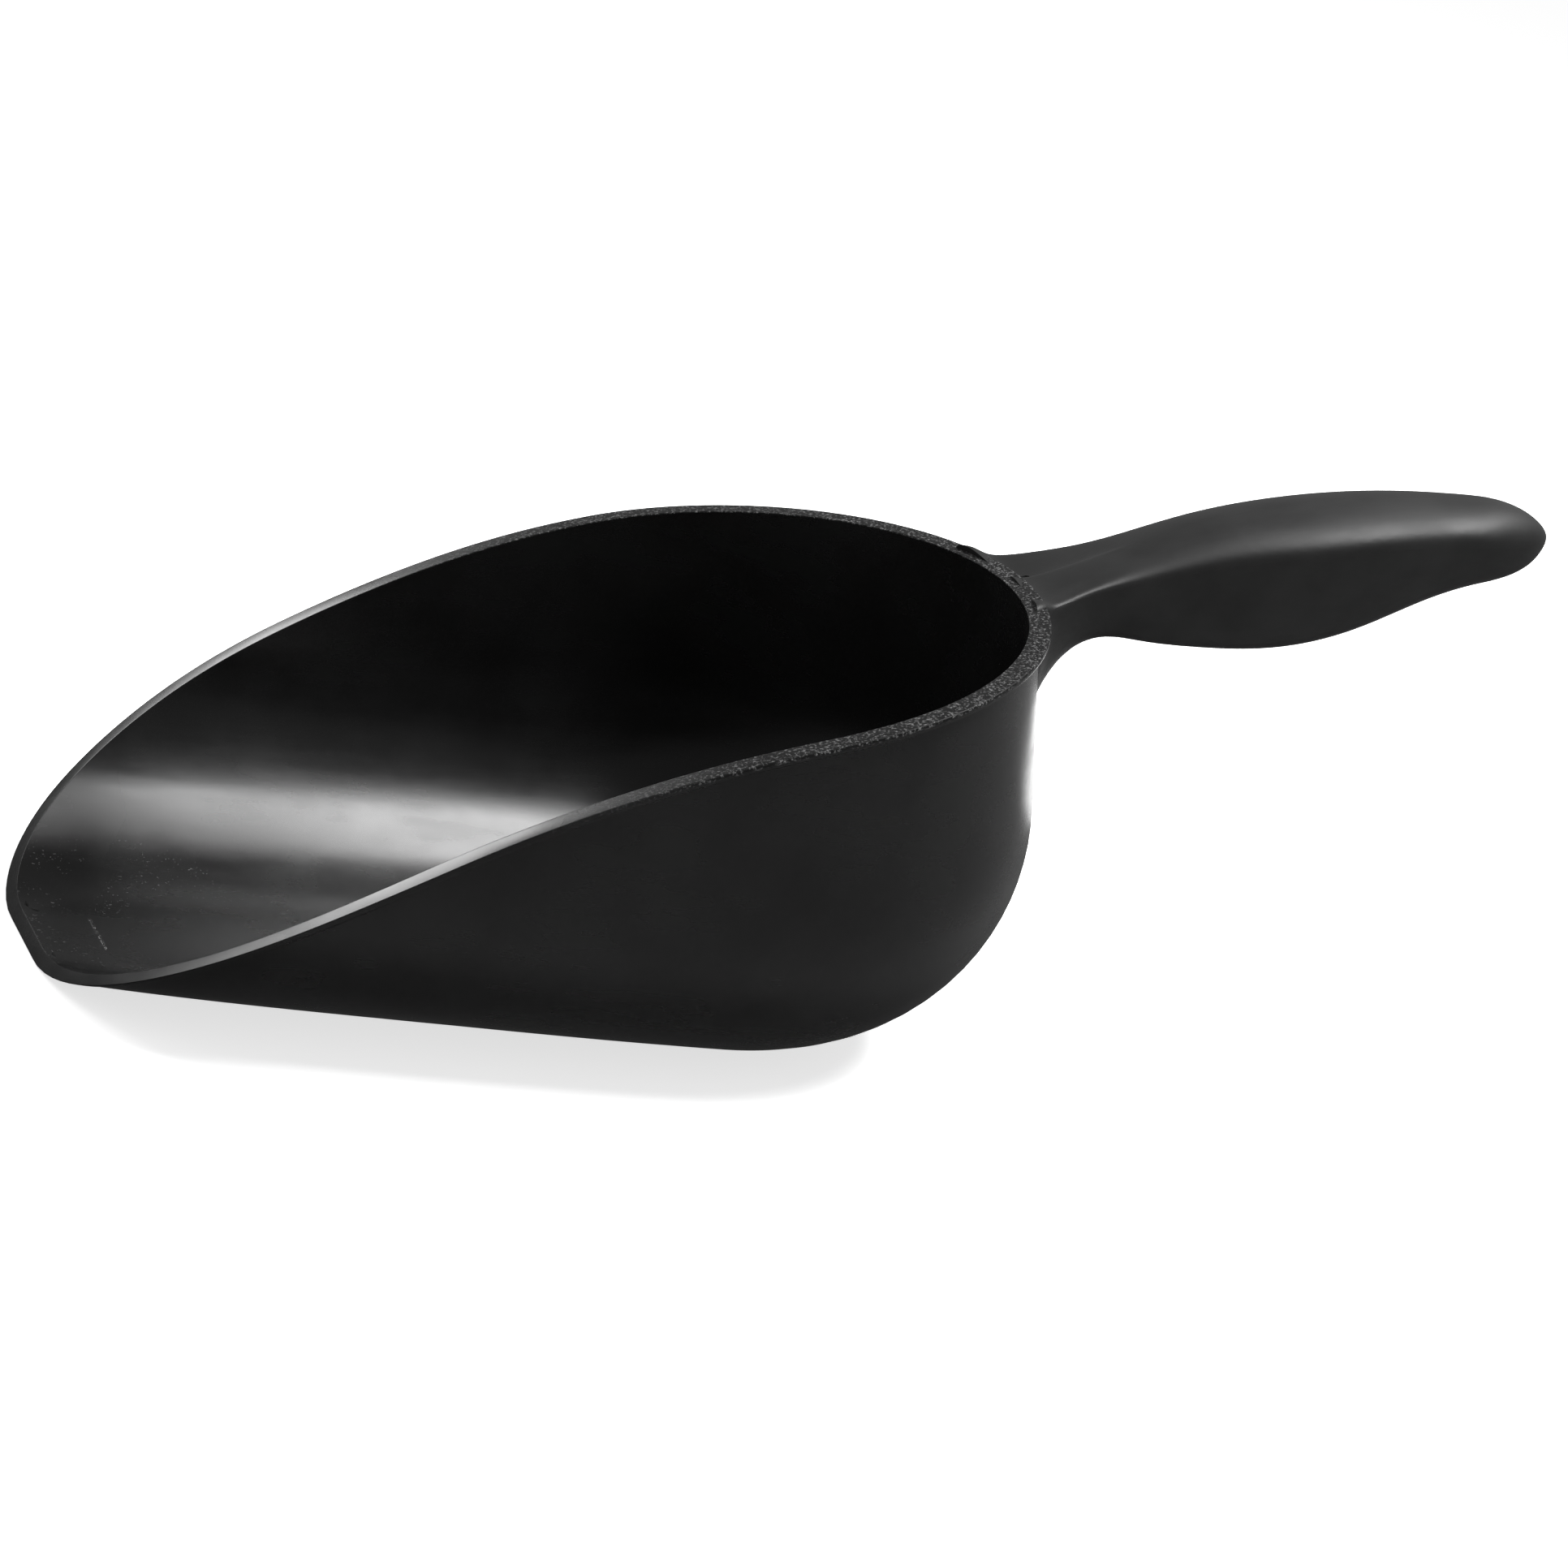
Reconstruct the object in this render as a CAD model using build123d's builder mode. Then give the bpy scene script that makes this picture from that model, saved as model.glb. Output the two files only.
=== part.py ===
from build123d import *
import math
import os

# One-hand scoop: a thin open bowl with a flat floor, a lipped rim and a hollow two-shell grip.
# Origin: middle of the flat floor's underside. +X from the tip to the grip, +Z up.
# The rim at the back, the draw direction of the moulding and the grip all lean with the bowl,
# so they are drawn in planes tilted by "lean" about Y and placed at the tip.

lean = 13.5              # angle between the flat floor and the level back rim, degrees
tip_x = -80.0            # where the floor's tip stands

# bowl, measured along and across the tilted planes
bowl_length = 215.0      # tip to the outside of the back wall
half_width = 70.0        # outside of the side walls; also the radius of the round back
heel_radius = 48.5       # rounding between the floor and every wall, outside
wall = 2.2
lip_reach = 2.4          # how far the rim lip stands out of the wall
lip_drop = 1.4           # height of the lip
lip_start_x = -66.0      # the lip has faded into the floor in front of this
front_overrun = 15.0     # the trough is drawn past the tip, then cut by the rim
side_slope = 0.28        # how fast the bowl widens where the side walls begin
side_run = [(-front_overrun, 53.4), (5.0, 58.3), (40.0, 63.6), (80.0, 66.8)]
rim_side = [(0.0, 0.0), (25.0, 14.4), (55.0, 28.0), (90.0, 39.8), (130.0, 48.0), (170.0, 50.7)]
rim_front = (-12.0, -9.2)
rim_back_height = 51.8
back_margin = 10.0       # cutting shapes run this far past the back wall
side_margin = 20.0       # and this far past the side walls
under_margin = -90.0     # and down to this height
trough_top = 90.0
trough_depth = 225.0     # drawn down this far, then cut by the floor

# grip, measured along the same tilted axes from the tip
# station, half width, height of the widest line, rise above it, depth below it
grip_sections = [
    (206.0, 22.8, 50.3, 0.3, 47.5),
    (217.5, 18.0, 50.2, 0.5, 28.6),
    (226.0, 14.5, 50.5, 1.3, 17.4),
    (235.0, 12.8, 51.0, 2.9, 15.0),
    (246.0, 12.6, 51.8, 4.6, 18.2),
    (260.0, 13.7, 53.0, 6.0, 22.6),
    (278.0, 15.8, 53.4, 6.8, 25.2),
    (298.0, 16.0, 53.1, 6.9, 22.8),
    (315.0, 14.8, 51.8, 6.8, 16.6),
    (326.0, 13.4, 49.9, 7.2, 12.7),
    (335.0, 10.6, 48.1, 7.2, 10.2),
    (341.0, 7.8, 46.9, 5.8, 7.4),
    (345.0, 4.3, 46.3, 3.4, 4.2),
    (346.8, 1.6, 46.0, 1.3, 1.6),
]
grip_wall = 2.4
cavity_start = 230.0
cavity_end = 326.0
notch_centre = (334.0, 4.7, 58.7)    # small scallop in the far shoulder near the grip's end
notch_radius = 3.5
notch_length = 30.0
notch_slope = 35.0                   # how steeply the scallop runs down the shoulder, degrees

# two pegs under the upper shell that enter posts in the lower shell
peg_stations = (262.0, 312.0)
peg_tops = (53.1, 52.1)              # height of the parting line at each peg
peg_radius = 2.0
peg_reach = 4.0
peg_root = 5.0                       # how far a peg runs up, into the roof of the upper shell
peg_clearance = 0.1
peg_tip_gap = 0.3
post_radius = 4.2
post_foot = 20.0
post_head = 4.0                      # drawn this far past the parting line, then cut by it

# tang: bar moulded on the back wall, held inside the lower shell
tang_half_width = 5.0
tang_bottom = 43.0
tang_top = 49.6
tang_start = 213.5
tang_end = 252.0
tang_round = 1.0
tang_clearance = 0.15

# block that parts the two shells: its ends, its underside and its reach to each side
parting_start = 190.0
parting_end = 360.0
parting_low = -20.0
parting_reach = 40.0

tilt = math.radians(lean)
tip = (tip_x, 0, 0)
along = (math.cos(tilt), 0, math.sin(tilt))
up = (-math.sin(tilt), 0, math.cos(tilt))
rim_plane = Plane(origin=tip, x_dir=along, z_dir=up)
side_plane = Plane(origin=tip, x_dir=along, z_dir=(0, -1, 0))


def cross_plane(station):
    """Plane across the grip, its local x along Y and its local y along the draw direction."""
    origin = side_plane.from_local_coords(Vector(station, 0, 0))
    return Plane(origin=origin, x_dir=(0, 1, 0), z_dir=along)


def trough(grow, floor_height):
    """Solid trough with flat floor and round back, its walls moved outwards by grow."""
    back_centre = bowl_length - half_width
    with BuildPart() as body:
        with BuildSketch(rim_plane.offset(trough_top)):
            with BuildLine():
                side = Spline(
                    *[(station, half + grow) for station, half in side_run],
                    (back_centre, half_width + grow),
                    tangents=[(1.0, side_slope), (1.0, 0.0)],
                )
                Line((-front_overrun, 0), side @ 0)
                CenterArc((back_centre, 0), half_width + grow, 0, 90)
                Line((bowl_length + grow, 0), (-front_overrun, 0))
            make_face()
            mirror(about=Plane.XZ)
        extrude(amount=-trough_depth)
        split(bisect_by=Plane.XY.offset(floor_height), keep=Keep.TOP)
        floor = body.faces().sort_by(Axis.Z)[0]
        walls = floor.edges().sort_by(Axis.X)[1:]
        fillet(walls, radius=heel_radius + grow)
    return body.part


def under_rim(drop):
    """Everything below the rim line seen from the side, with that line lowered by drop."""
    points = [(station, height - drop) for station, height in rim_side]
    back = (bowl_length + back_margin, rim_back_height - drop)
    first = (rim_front[0], rim_front[1] - drop)
    with BuildPart() as body:
        with BuildSketch(side_plane):
            with BuildLine():
                rim = Spline(first, *points, back)
                Polyline(rim @ 1, (back[0], under_margin), (first[0], under_margin), rim @ 0)
            make_face()
        extrude(amount=half_width + side_margin, both=True)
    return body.part


def grip_outline(half, rise, depth):
    """Closed section of the grip: domed top, widest line, flanks closing to a rounded keel."""
    right = [
        (0.60 * half, 0.80 * rise),
        (0.97 * half, 0.22 * rise),
        (0.93 * half, -0.20 * depth),
        (0.70 * half, -0.60 * depth),
        (0.36 * half, -0.93 * depth),
    ]
    left = [(-y, z) for y, z in reversed(right)]
    return [(0.0, rise), *right, (0.0, -depth), *left]


def grip_body(inset, first, last):
    """Lofted grip, its surface moved inwards by inset, between two stations."""
    chosen = [section for section in grip_sections if first <= section[0] <= last]
    with BuildPart() as body:
        for station, half, middle, rise, depth in chosen:
            points = grip_outline(half - inset, rise - inset, depth - inset)
            with BuildSketch(cross_plane(station)):
                with BuildLine():
                    Spline(*[(y, z + middle) for y, z in points], periodic=True)
                make_face()
        loft()
    return body.part


def upright_rod(station, radius, low, high):
    """Round rod in the grip's middle plane, between two heights on the draw direction."""
    with BuildPart() as body:
        with BuildSketch(rim_plane.offset(low)):
            with Locations((station, 0)):
                Circle(radius)
        extrude(amount=high - low)
    return body.part


def tang_bar(grow):
    """Bar that ties the bowl to the grip, its faces moved outwards by grow."""
    with BuildPart() as body:
        with BuildSketch(cross_plane(tang_start)):
            with Locations((0, (tang_bottom + tang_top) / 2)):
                RectangleRounded(
                    2 * (tang_half_width + grow),
                    tang_top - tang_bottom + 2 * grow,
                    tang_round + grow,
                )
        extrude(amount=tang_end - tang_start + grow)
    return body.part


def below_parting():
    """Block whose upper face is the parting surface between the two grip shells."""
    line = [(station, middle) for station, half, middle, rise, depth in grip_sections[1:-1]]
    start = (parting_start, line[0][1])
    finish = (parting_end, line[-1][1])
    with BuildPart() as body:
        with BuildSketch(side_plane):
            with BuildLine():
                parting = Spline(start, *line, finish)
                Polyline(parting @ 1, (finish[0], parting_low), (start[0], parting_low), parting @ 0)
            make_face()
        extrude(amount=parting_reach, both=True)
    return body.part


outer_skin = trough(0.0, 0.0)
cavity = trough(-wall, wall)
lip_skin = trough(lip_reach, 0.0)
below_rim = under_rim(0.0)
below_lip = under_rim(lip_drop)

with BuildPart() as lip:
    add(lip_skin)
    add(below_rim, mode=Mode.INTERSECT)
    add(below_lip, mode=Mode.SUBTRACT)
    add(cavity, mode=Mode.SUBTRACT)
    split(bisect_by=Plane.YZ.offset(lip_start_x), keep=Keep.TOP)

with BuildPart() as scoop_bowl:
    add(outer_skin)
    add(below_rim, mode=Mode.INTERSECT)
    add(tang_bar(0.0))
    add(cavity, mode=Mode.SUBTRACT)
    add(lip.part)

grip_skin = grip_body(0.0, grip_sections[0][0], grip_sections[-1][0])
grip_cavity = grip_body(grip_wall, cavity_start, cavity_end)
lower_side = below_parting()

notch_plane = Plane(
    origin=rim_plane.from_local_coords(Vector(*notch_centre)),
    x_dir=along,
    z_dir=rim_plane.from_local_coords(
        Vector(0, math.cos(math.radians(notch_slope)), -math.sin(math.radians(notch_slope)))
    ) - Vector(tip),
)

with BuildPart() as notch:
    with BuildSketch(notch_plane):
        Circle(notch_radius)
    extrude(amount=notch_length, both=True)

with BuildPart() as handle_upper_shell:
    add(grip_skin)
    add(lower_side, mode=Mode.SUBTRACT)
    add(outer_skin, mode=Mode.SUBTRACT)
    add(lip.part, mode=Mode.SUBTRACT)
    add(grip_cavity, mode=Mode.SUBTRACT)
    add(notch.part, mode=Mode.SUBTRACT)
    for station, height in zip(peg_stations, peg_tops):
        add(upright_rod(station, peg_radius, height - peg_reach, height + peg_root))

with BuildPart() as lower_hollow:
    add(grip_cavity)
    for station, height in zip(peg_stations, peg_tops):
        post = upright_rod(station, post_radius, post_foot, height + post_head)
        add(post, mode=Mode.SUBTRACT)

with BuildPart() as handle_lower_shell:
    add(grip_skin)
    add(lower_hollow.part, mode=Mode.SUBTRACT)
    add(lower_side, mode=Mode.INTERSECT)
    add(outer_skin, mode=Mode.SUBTRACT)
    add(lip.part, mode=Mode.SUBTRACT)
    add(tang_bar(tang_clearance), mode=Mode.SUBTRACT)
    for station, height in zip(peg_stations, peg_tops):
        bore_floor = height - peg_reach - peg_tip_gap
        add(
            upright_rod(station, peg_radius + peg_clearance, bore_floor, height + post_head),
            mode=Mode.SUBTRACT,
        )

scoop_bowl.part.label = "scoop_bowl"
handle_upper_shell.part.label = "handle_upper_shell"
handle_lower_shell.part.label = "handle_lower_shell"

os.makedirs("parts", exist_ok=True)
export_step(scoop_bowl.part, "parts/scoop_bowl.step")
export_step(handle_upper_shell.part, "parts/handle_upper_shell.step")
export_step(handle_lower_shell.part, "parts/handle_lower_shell.step")
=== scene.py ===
import bmesh
import bpy
import math
import numpy as np
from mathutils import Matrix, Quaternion, Vector


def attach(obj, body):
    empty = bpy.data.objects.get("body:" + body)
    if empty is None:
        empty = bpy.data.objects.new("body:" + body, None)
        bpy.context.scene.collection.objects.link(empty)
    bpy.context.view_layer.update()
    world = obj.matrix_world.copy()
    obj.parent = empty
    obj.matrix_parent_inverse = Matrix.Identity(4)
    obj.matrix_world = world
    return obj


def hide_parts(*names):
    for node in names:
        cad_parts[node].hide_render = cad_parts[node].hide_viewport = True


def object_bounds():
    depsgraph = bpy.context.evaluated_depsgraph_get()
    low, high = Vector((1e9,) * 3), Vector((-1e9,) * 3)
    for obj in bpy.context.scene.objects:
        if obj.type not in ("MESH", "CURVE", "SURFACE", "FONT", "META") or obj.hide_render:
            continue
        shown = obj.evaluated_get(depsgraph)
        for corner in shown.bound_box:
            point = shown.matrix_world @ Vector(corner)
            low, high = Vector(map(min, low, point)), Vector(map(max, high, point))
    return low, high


# A black moulded hand scoop: the bowl is rebuilt as a smooth mesh with a rounded, bevelled lip and
# the tang that runs into the grip. The two shells of the grip keep their CAD shape. All in metres.

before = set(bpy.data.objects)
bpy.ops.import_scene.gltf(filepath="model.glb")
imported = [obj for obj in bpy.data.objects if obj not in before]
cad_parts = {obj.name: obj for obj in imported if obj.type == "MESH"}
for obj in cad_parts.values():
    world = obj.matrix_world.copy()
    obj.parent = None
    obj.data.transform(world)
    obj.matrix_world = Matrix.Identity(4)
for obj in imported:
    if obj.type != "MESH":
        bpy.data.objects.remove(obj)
cad_low, cad_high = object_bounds()

# ---- bowl dimensions, the same as the CAD part's ----
LEAN = math.radians(13.5)            # angle between the flat floor and the level back rim
TIP = np.array([-0.080, 0.0, 0.0])
ALONG = np.array([math.cos(LEAN), 0.0, math.sin(LEAN)])
ACROSS = np.array([0.0, 1.0, 0.0])
DRAW = np.array([-math.sin(LEAN), 0.0, math.cos(LEAN)])
DOWN = np.array([0.0, 0.0, -1.0])
BOWL_LENGTH = 0.215
HALF_WIDTH = 0.070
HEEL_RADIUS = 0.0485
WALL = 0.0022
ARC_CENTRE = BOWL_LENGTH - HALF_WIDTH
SIDE_STATIONS = (-0.015, 0.005, 0.040, 0.080, ARC_CENTRE)
SIDE_HALF_WIDTHS = (0.0534, 0.0583, 0.0636, 0.0668, HALF_WIDTH)
SIDE_FIRST_SLOPE = 0.28
RIM_STATIONS = (-0.012, 0.0, 0.025, 0.055, 0.090, 0.130, 0.170, 0.225)
RIM_HEIGHTS = (-0.0092, 0.0, 0.0144, 0.0280, 0.0398, 0.0480, 0.0507, 0.0518)

# ---- tang: the bar on the back wall that runs into the grip ----
TANG_STATIONS = (0.2135, 0.2520)
TANG_HALF_WIDTH = 0.005
TANG_HEIGHTS = (0.0430, 0.0496)
BOX_FACES = ((0, 1, 3, 2), (4, 6, 7, 5), (0, 4, 5, 1), (2, 3, 7, 6), (0, 2, 6, 4), (1, 5, 7, 3))

# ---- lip profile ----
LIP_REACH = 0.0024                   # how far the lip stands out of the wall
LIP_EDGE = 0.0014                    # height of its outer edge
LIP_DEPTH = 0.0026                   # from the rim down to where its underside meets the wall
EDGE_ROUND = 0.0004
FOOT_ROUND = 0.0008

# ---- mesh density ----
TIP_COLUMNS = 8
SIDE_COLUMNS = 104
ARC_COLUMNS = 66
SKIN_ROWS = 44
ROW_GRADING = 1.6                    # rows are closer together near the rim
ROUND_POINTS = 5
FLOOR_STRIPS = 2 * TIP_COLUMNS       # the strips meet the ends of the tip columns
FLOOR_LOOP = 0.8                     # size of the inner floor loop against the floor's own edge
FLOOR_MIDDLE = 0.075                 # station of the floor's middle
WALL_TOP = 0.12                      # walls are drawn up to this far above the heel, then trimmed
WALL_POINTS = 400                    # points of a fine line before it is resampled
HEEL_POINTS = 240
FLOOR_POINTS = 160
LARGEST_ROUND = 0.45                 # a round takes at most this share of the edge beside it
WELD_DISTANCE = 1e-6


def smooth_line(stations, values, first_slope=None, last_slope=None):
    """Cubic spline through the points, natural at an end with no slope: its value and its slope."""
    x = np.array(stations)
    y = np.array(values)
    step = np.diff(x)
    rise = np.diff(y) / step
    count = len(x)
    matrix = np.zeros((count, count))
    right = np.zeros(count)
    for i in range(1, count - 1):
        matrix[i, i - 1:i + 2] = (step[i], 2 * (step[i - 1] + step[i]), step[i - 1])
        right[i] = 3 * (step[i] * rise[i - 1] + step[i - 1] * rise[i])
    matrix[0, :2] = (2, 1) if first_slope is None else (1, 0)
    right[0] = 3 * rise[0] if first_slope is None else first_slope
    matrix[-1, -2:] = (1, 2) if last_slope is None else (0, 1)
    right[-1] = 3 * rise[-1] if last_slope is None else last_slope
    slopes = np.linalg.solve(matrix, right)

    def piece(at):
        i = np.clip(np.searchsorted(x, at) - 1, 0, count - 2)
        t = (at - x[i]) / step[i]
        return i, t

    def value(at):
        i, t = piece(at)
        a = (1 + 2 * t) * (1 - t) ** 2 * y[i] + t * t * (3 - 2 * t) * y[i + 1]
        b = t * (1 - t) ** 2 * slopes[i] - t * t * (1 - t) * slopes[i + 1]
        return a + b * step[i]

    def slope(at):
        i, t = piece(at)
        a = 6 * t * (1 - t) * rise[i]
        return a + (1 - t) * (1 - 3 * t) * slopes[i] + t * (3 * t - 2) * slopes[i + 1]

    return value, slope


side_value, side_slope = smooth_line(SIDE_STATIONS, SIDE_HALF_WIDTHS, SIDE_FIRST_SLOPE, 0.0)
rim_height = smooth_line(RIM_STATIONS, RIM_HEIGHTS)[0]


def in_object(along, across, draw):
    """Object coordinates of a point given along the tilted axes from the tip."""
    return TIP + np.outer(along, ALONG) + np.outer(across, ACROSS) + np.outer(draw, DRAW)


def plan(grow):
    """Outline of half the bowl in the draw plane, moved out by grow: points and outward normals."""
    stations = np.linspace(SIDE_STATIONS[0], ARC_CENTRE, SIDE_COLUMNS, endpoint=False)
    slopes = side_slope(stations)
    size = np.hypot(slopes, 1.0)
    side = np.c_[stations, side_value(stations) + grow]
    side_normals = np.c_[-slopes / size, 1.0 / size]
    turn = np.linspace(math.pi / 2, 0.0, ARC_COLUMNS)
    arc_normals = np.c_[np.cos(turn), np.sin(turn)]
    arc = np.array([ARC_CENTRE, 0.0]) + arc_normals * (HALF_WIDTH + grow)
    return np.r_[side, arc], np.r_[side_normals, arc_normals]


def skin_columns(grow, floor_height, drop):
    """Lines over one skin of the bowl, from the rim (lowered by drop) to the loop on its floor."""
    radius = HEEL_RADIUS + grow
    ball_height = floor_height + radius
    points, normals = plan(grow)
    ball = points - radius * normals
    ball_draw = (ball_height - ball[:, 0] * math.sin(LEAN)) / math.cos(LEAN)
    centres = in_object(ball[:, 0], ball[:, 1], ball_draw)
    outward = np.outer(normals[:, 0], ALONG) + np.outer(normals[:, 1], ACROSS)
    middle = in_object([FLOOR_MIDDLE], [0.0], [-FLOOR_MIDDLE * math.tan(LEAN)])[0]
    middle[2] = floor_height
    lines = []
    for centre, normal in zip(centres, outward):
        top = centre + radius * normal
        walls = top + np.outer(np.linspace(WALL_TOP, 0.0, WALL_POINTS, endpoint=False), DRAW)
        swing = math.acos(float(normal @ DOWN))
        turn = np.linspace(0.0, swing, HEEL_POINTS)
        arc = np.outer(np.sin(swing - turn), normal) + np.outer(np.sin(turn), DOWN)
        heel = centre + radius * arc / math.sin(swing)
        lines.append(np.r_[walls, heel, floor_run(heel[-1], middle)])
    foot = centres[0] + radius * DOWN
    tips = []
    for share in np.linspace(0.0, 1.0, TIP_COLUMNS, endpoint=False):
        start = foot * np.array([1.0, share, 1.0])
        tips.append(floor_run(start, middle))
    return [resample(trim(line, drop)) for line in tips + lines]


def floor_run(start, middle):
    """Straight run over the flat floor, from a point at its edge to the inner loop."""
    edge = np.array([max(start[0], TIP[0]), start[1], start[2]])
    goal = middle + FLOOR_LOOP * (edge - middle)
    return start + np.outer(np.linspace(0.0, 1.0, FLOOR_POINTS + 1)[1:], goal - start)


def trim(line, drop):
    """The part of a line below the rim, starting exactly on it."""
    offset = line - TIP
    over = offset @ DRAW - (rim_height(offset @ ALONG) - drop)
    last = np.nonzero(over > 0)[0][-1]
    share = over[last] / (over[last] - over[last + 1])
    start = line[last] + share * (line[last + 1] - line[last])
    return np.r_[start[None], line[last + 1:]]


def resample(line):
    """The same line with its rows drawn together towards the rim."""
    run = np.r_[0.0, np.cumsum(np.linalg.norm(np.diff(line, axis=0), axis=1))]
    places = run[-1] * np.linspace(0.0, 1.0, SKIN_ROWS) ** ROW_GRADING
    return np.stack([np.interp(places, run, line[:, axis]) for axis in range(3)], axis=1)


def rounded(before, corner, after, size):
    """Points of a small round in place of a corner."""
    reach_in = min(size, LARGEST_ROUND * np.linalg.norm(before - corner))
    reach_out = min(size, LARGEST_ROUND * np.linalg.norm(after - corner))
    start = corner + reach_in * (before - corner) / np.linalg.norm(before - corner)
    end = corner + reach_out * (after - corner) / np.linalg.norm(after - corner)
    t = np.linspace(0.0, 1.0, ROUND_POINTS)[:, None]
    return (1 - t) ** 2 * start + 2 * t * (1 - t) * corner + t * t * end


def bowl_columns():
    """Whole profiles from the inside floor over the lip to the underside, one for each column."""
    inside = skin_columns(-WALL, WALL, 0.0)
    lip_top = [line[0] for line in skin_columns(LIP_REACH, 0.0, 0.0)]
    lip_low = [line[0] for line in skin_columns(LIP_REACH, 0.0, LIP_EDGE)]
    outside = skin_columns(0.0, 0.0, LIP_DEPTH)
    columns = []
    for inner, top, low, outer in zip(inside, lip_top, lip_low, outside):
        columns.append(np.r_[
            inner[:0:-1],
            rounded(inner[1], inner[0], top, EDGE_ROUND),
            rounded(inner[0], top, low, EDGE_ROUND),
            rounded(top, low, outer[0], EDGE_ROUND),
            rounded(low, outer[0], outer[1], FOOT_ROUND),
            outer[1:],
        ])
    return np.array(columns)


def tang_corners():
    """The eight corners of the tang, in the order that BOX_FACES expects."""
    corners = [
        (station, side * TANG_HALF_WIDTH, height)
        for station in TANG_STATIONS for side in (-1, 1) for height in TANG_HEIGHTS
    ]
    return in_object(*np.array(corners).T)


def bowl_mesh():
    """Both halves of the bowl as one closed mesh, with the tang beside it and two masks for looks."""
    half = bowl_columns()
    half[0, :, 1] = 0.0
    half[-1, :, 1] = 0.0
    columns, rows = half.shape[:2]
    mirrored = half * np.array([1.0, -1.0, 1.0])
    verts = np.concatenate([half.reshape(-1, 3), mirrored.reshape(-1, 3)])
    faces = []
    for side in range(2):
        base = side * columns * rows
        for i in range(columns - 1):
            for j in range(rows - 1):
                a = base + i * rows + j
                quad = (a, a + 1, a + rows + 1, a + rows)
                faces.append(quad if side else quad[::-1])
    strips = []
    for row, flip in ((0, False), (rows - 1, True)):
        for i in range(columns):
            near = half[i, row]
            for k in range(1, FLOOR_STRIPS):
                share = 1.0 - 2.0 * k / FLOOR_STRIPS
                strips.append(near * np.array([1.0, share, 1.0]))
        start = len(verts) + (0 if row == 0 else columns * (FLOOR_STRIPS - 1))

        def cross(i, k):
            if k == 0:
                return i * rows + row
            if k == FLOOR_STRIPS:
                return columns * rows + i * rows + row
            return start + i * (FLOOR_STRIPS - 1) + k - 1

        for i in range(TIP_COLUMNS, columns - 1):
            for k in range(FLOOR_STRIPS):
                quad = (cross(i, k), cross(i + 1, k), cross(i + 1, k + 1), cross(i, k + 1))
                faces.append(quad if flip else quad[::-1])
    tang_start = len(verts) + len(strips)
    faces += [tuple(tang_start + corner for corner in face) for face in BOX_FACES]
    verts = np.concatenate([verts, np.array(strips), tang_corners()])
    mesh = bpy.data.meshes.new("bowl_shell")
    mesh.from_pydata(verts.tolist(), [], faces)
    row = np.arange(rows)
    on_lip = (row >= SKIN_ROWS - 1) & (row < SKIN_ROWS - 1 + 2 * ROUND_POINTS)
    add_mask(mesh, "lip_mask", np.tile(on_lip, 2 * columns))
    add_mask(mesh, "inside_mask", np.tile(row < SKIN_ROWS - 1, 2 * columns))
    return mesh


def add_mask(mesh, name, values):
    """Stores 0 or 1 on each point; points past the end of values get 0."""
    mask = np.zeros(len(mesh.vertices), np.float32)
    mask[:len(values)] = values
    mesh.attributes.new(name, "FLOAT", "POINT").data.foreach_set("value", mask)


def add_object(name, mesh):
    piece = bpy.data.objects.new(name, mesh)
    bpy.context.scene.collection.objects.link(piece)
    return piece


def weld(piece):
    """Joins doubled points, drops those that no face uses and shades the piece smooth."""
    work = bmesh.new()
    work.from_mesh(piece.data)
    bmesh.ops.remove_doubles(work, verts=work.verts, dist=WELD_DISTANCE)
    loose = [vert for vert in work.verts if not vert.link_faces]
    bmesh.ops.delete(work, geom=loose, context="VERTS")
    bmesh.ops.recalc_face_normals(work, faces=work.faces)
    for face in work.faces:
        face.smooth = True
    work.to_mesh(piece.data)
    work.free()


bowl = add_object("bowl_shell", bowl_mesh())
weld(bowl)


# ---- black moulded plastic ----

BOWL_SPECULAR = 0.27
RIM_SPECULAR = 0.08
GRIP_SPECULAR = 0.19
GRAIN_SCALE = 1400.0
GRAIN_DEPTH = 0.000004


def new_material(name, specular):
    """A Principled material, its node tree and its shader, with the specular level set."""
    material = bpy.data.materials.new(name)
    material.use_nodes = True
    shader = material.node_tree.nodes["Principled BSDF"]
    shader.inputs["Specular IOR Level"].default_value = specular
    return material, material.node_tree, shader


def link(tree, value, socket):
    tree.links.new(value, socket)


def object_place(tree, stretch=(1.0, 1.0, 1.0)):
    """Object coordinates in metres, scaled along each axis to stretch a pattern."""
    place = tree.nodes.new("ShaderNodeTexCoord")
    scaled = tree.nodes.new("ShaderNodeVectorMath")
    scaled.operation = "MULTIPLY"
    scaled.inputs[1].default_value = stretch
    link(tree, place.outputs["Object"], scaled.inputs[0])
    return scaled.outputs["Vector"]


def noise(tree, place, scale, detail, roughness=0.55):
    texture = tree.nodes.new("ShaderNodeTexNoise")
    texture.inputs["Scale"].default_value = scale
    texture.inputs["Detail"].default_value = detail
    texture.inputs["Roughness"].default_value = roughness
    link(tree, place, texture.inputs["Vector"])
    return texture.outputs["Fac"]


def spread(tree, value, low, high, to_low=0.0, to_high=1.0):
    """Smoothly maps a value's range low..high to another range, and holds it at both ends."""
    node = tree.nodes.new("ShaderNodeMapRange")
    node.interpolation_type = "SMOOTHSTEP"
    node.inputs["From Min"].default_value = low
    node.inputs["From Max"].default_value = high
    node.inputs["To Min"].default_value = to_low
    node.inputs["To Max"].default_value = to_high
    link(tree, value, node.inputs["Value"])
    return node.outputs["Result"]


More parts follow.
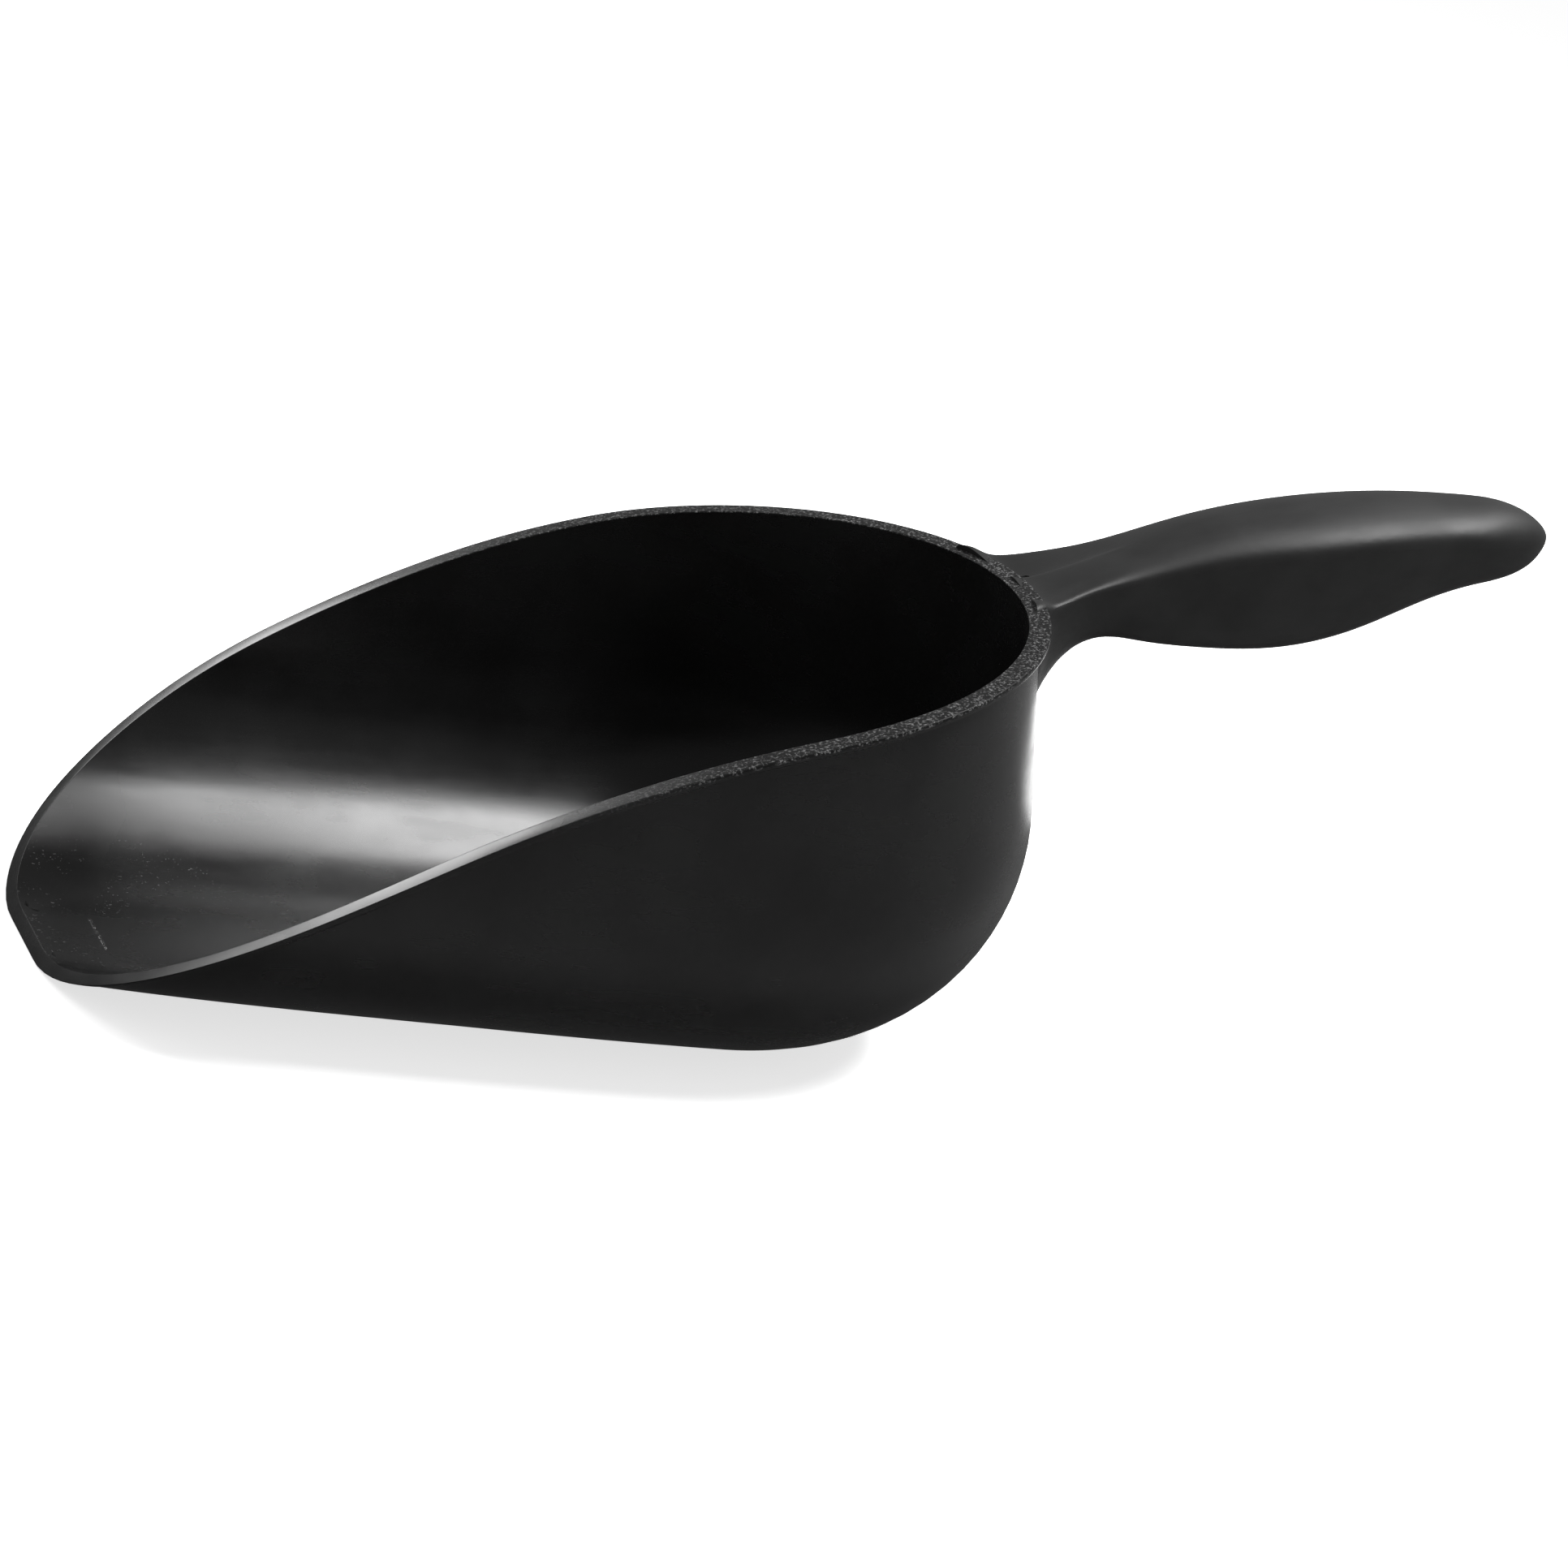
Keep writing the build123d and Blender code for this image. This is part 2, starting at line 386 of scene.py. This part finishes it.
def combine(tree, operation, first, second):
    """Adds or multiplies two values; each is a number or another node's output."""
    node = tree.nodes.new("ShaderNodeMath")
    node.operation = operation
    for socket, value in zip(node.inputs, (first, second)):
        if isinstance(value, float):
            socket.default_value = value
        else:
            link(tree, value, socket)
    return node.outputs["Value"]


def axis_of(tree, place, axis):
    parts = tree.nodes.new("ShaderNodeSeparateXYZ")
    link(tree, place, parts.inputs["Vector"])
    return parts.outputs[axis]


def bump(tree, height, distance, before=None):
    node = tree.nodes.new("ShaderNodeBump")
    node.inputs["Strength"].default_value = 1.0
    node.inputs["Distance"].default_value = distance
    link(tree, height, node.inputs["Height"])
    if before is not None:
        link(tree, before, node.inputs["Normal"])
    return node.outputs["Normal"]


def stored(tree, name):
    """A mask stored on the mesh."""
    node = tree.nodes.new("ShaderNodeAttribute")
    node.attribute_name = name
    return node.outputs["Fac"]


def grey(tree, value, shader):
    colour = tree.nodes.new("ShaderNodeCombineColor")
    for socket in colour.inputs:
        link(tree, value, socket)
    link(tree, colour.outputs["Color"], shader.inputs["Base Color"])


def bowl_material():
    """Semi-gloss black: cloudy patches, flow lines, a dull dusty front and a scuffed, duller rim."""
    material, tree, shader = new_material("bowl_plastic", BOWL_SPECULAR)
    place = object_place(tree)
    clouds = noise(tree, place, 38.0, 4.0)
    flow = noise(tree, object_place(tree, (0.25, 1.0, 1.6)), 120.0, 5.0)
    grain = noise(tree, place, GRAIN_SCALE, 2.0)

    toward_back = spread(tree, axis_of(tree, place, "X"), -0.01, 0.05)
    worn = combine(tree, "MULTIPLY", stored(tree, "lip_mask"), toward_back)
    fleck = spread(tree, noise(tree, place, 1500.0, 3.0, 0.7), 0.52, 0.64)
    scuff = combine(tree, "MULTIPLY", worn, fleck)

    front = spread(tree, axis_of(tree, place, "X"), -0.045, -0.02, 1.0, 0.0)
    low_down = spread(tree, axis_of(tree, place, "Z"), 0.003, 0.010, 1.0, 0.0)
    dust_place = combine(tree, "MULTIPLY", front, low_down)
    dust_place = combine(tree, "MULTIPLY", dust_place, stored(tree, "inside_mask"))
    specks = spread(tree, noise(tree, place, 2000.0, 0.0), 0.75, 0.80)
    patches = spread(tree, noise(tree, place, 60.0, 1.0), 0.42, 0.6)
    dust = combine(tree, "MULTIPLY", combine(tree, "MULTIPLY", specks, patches), dust_place)

    tone = spread(tree, clouds, 0.3, 0.7, 0.004, 0.006)
    tone = combine(tree, "ADD", tone, combine(tree, "MULTIPLY", scuff, 0.10))
    tone = combine(tree, "ADD", tone, combine(tree, "MULTIPLY", dust, 0.04))
    grey(tree, tone, shader)

    rough = spread(tree, clouds, 0.3, 0.7, 0.22, 0.28)
    rough = combine(tree, "ADD", rough, spread(tree, flow, 0.3, 0.7, -0.02, 0.03))
    rough = combine(tree, "ADD", rough, combine(tree, "MULTIPLY", worn, 0.20))
    link(tree, rough, shader.inputs["Roughness"])
    dulled = spread(tree, axis_of(tree, place, "X"), -0.065, -0.030, 0.3, 1.0)
    specular = combine(tree, "MULTIPLY", spread(tree, worn, 0.0, 1.0, BOWL_SPECULAR, RIM_SPECULAR), dulled)
    link(tree, specular, shader.inputs["Specular IOR Level"])

    normal = bump(tree, flow, 0.00002)
    normal = bump(tree, grain, GRAIN_DEPTH, normal)
    normal = bump(tree, combine(tree, "MULTIPLY", fleck, worn), 0.00008, normal)
    normal = bump(tree, dust, 0.00004, normal)
    link(tree, normal, shader.inputs["Normal"])
    return material


def grip_material():
    """The same black, a little duller where a hand holds it."""
    material, tree, shader = new_material("grip_plastic", GRIP_SPECULAR)
    place = object_place(tree)
    clouds = noise(tree, place, 55.0, 4.0)
    flow = noise(tree, object_place(tree, (0.3, 1.0, 1.0)), 150.0, 4.0)
    grain = noise(tree, place, GRAIN_SCALE, 2.0)
    grey(tree, spread(tree, clouds, 0.3, 0.7, 0.006, 0.009), shader)
    rough = spread(tree, clouds, 0.3, 0.7, 0.47, 0.53)
    rough = combine(tree, "ADD", rough, spread(tree, flow, 0.3, 0.7, -0.02, 0.04))
    link(tree, rough, shader.inputs["Roughness"])
    normal = bump(tree, flow, 0.00003)
    normal = bump(tree, grain, GRAIN_DEPTH, normal)
    link(tree, normal, shader.inputs["Normal"])
    return material


bowl.data.materials.append(bowl_material())
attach(bowl, "root")
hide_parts("scoop_bowl")
grip_plastic = grip_material()
for name in ("handle_upper_shell", "handle_lower_shell"):
    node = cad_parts[name]
    node.data.materials.clear()
    node.data.materials.append(grip_plastic)

# ---- stage ----

FLOOR_SIZE = 60.0
FLOOR_GAP = 0.0002
FLOOR_GLOW = 0.70                    # keeps the far floor as pale as the near floor
FLOOR_TONE = 0.82
FLOOR_ROUGHNESS = 0.9
WORLD_ABOVE = 0.33
WORLD_BELOW = 0.05                   # seen only in reflections, through the floor
WORLD_SLANT = (0.0, -0.6, 1.0)       # the world darkens against this direction
WORLD_FADE = (-0.95, -0.50)          # between these values along it


def stage_floor():
    half = FLOOR_SIZE / 2
    corners = [(-half, -half, 0), (half, -half, 0), (half, half, 0), (-half, half, 0)]
    mesh = bpy.data.meshes.new("floor")
    mesh.from_pydata(corners, [], [(0, 1, 2, 3)])
    piece = add_object("floor", mesh)
    piece.location.z = cad_low.z - FLOOR_GAP
    material, tree, shader = new_material("floor", 0.0)
    shader.inputs["Base Color"].default_value = (FLOOR_TONE, FLOOR_TONE, FLOOR_TONE, 1)
    shader.inputs["Roughness"].default_value = FLOOR_ROUGHNESS
    shader.inputs["Emission Color"].default_value = (1, 1, 1, 1)
    shader.inputs["Emission Strength"].default_value = FLOOR_GLOW
    mesh.materials.append(material)
    piece.visible_glossy = False


def softbox(name, place, aim, width, depth, power):
    """Rectangular area light at place, turned to face aim."""
    light = bpy.data.lights.new(name, "AREA")
    light.shape = "RECTANGLE"
    light.size = width
    light.size_y = depth
    light.energy = power
    lamp = bpy.data.objects.new(name, light)
    bpy.context.scene.collection.objects.link(lamp)
    lamp.location = place
    lamp.rotation_mode = "QUATERNION"
    lamp.rotation_quaternion = (Vector(aim) - Vector(place)).to_track_quat("-Z", "Y")
    return lamp


def stage_world():
    """White all round, and dark where the far underside of the object looks."""
    world = bpy.data.worlds.new("world")
    world.use_nodes = True
    tree = world.node_tree
    background = tree.nodes["Background"]
    background.inputs["Color"].default_value = (1, 1, 1, 1)
    slant = tree.nodes.new("ShaderNodeVectorMath")
    slant.operation = "DOT_PRODUCT"
    slant.inputs[1].default_value = WORLD_SLANT
    link(tree, tree.nodes.new("ShaderNodeTexCoord").outputs["Generated"], slant.inputs[0])
    glow = spread(tree, slant.outputs["Value"], *WORLD_FADE, WORLD_BELOW, WORLD_ABOVE)
    link(tree, glow, background.inputs["Strength"])
    bpy.context.scene.world = world


stage_floor()
stage_world()
centre = (cad_low + cad_high) / 2
softbox("key", (0.65, -0.06, 1.1), centre, 0.78, 0.40, 34)
softbox("back", (-0.50, 1.1, 0.70), centre, 0.9, 0.35, 9)
card = softbox("card", (0.32, 0.19, 0.0), (0.32, 0.19, 1.0), 0.14, 0.12, 0.11)
card.visible_camera = False

# ---- camera ----

AZIMUTH = math.radians(-26.446)
ELEVATION = math.radians(17.305)
ROLL = math.radians(-14.154)
DISTANCE = 0.86939
LENS = 93.74
SENSOR_WIDTH = 36.0
NEAREST = 0.01
AIM = Vector((0.076938, 0.0, 0.048714))


def stage_camera():
    data = bpy.data.cameras.new("camera")
    data.lens = LENS
    data.sensor_width = SENSOR_WIDTH
    data.clip_start = NEAREST
    data.clip_end = 2 * FLOOR_SIZE
    camera = bpy.data.objects.new("camera", data)
    bpy.context.scene.collection.objects.link(camera)
    back = Vector((
        math.sin(AZIMUTH) * math.cos(ELEVATION),
        -math.cos(AZIMUTH) * math.cos(ELEVATION),
        math.sin(ELEVATION),
    ))
    camera.rotation_mode = "QUATERNION"
    camera.location = AIM + DISTANCE * back
    level = (-back).to_track_quat("-Z", "Y")
    camera.rotation_quaternion = level @ Quaternion((0, 0, 1), -ROLL)
    bpy.context.scene.camera = camera


stage_camera()
bpy.context.scene.view_settings.view_transform = "Standard"
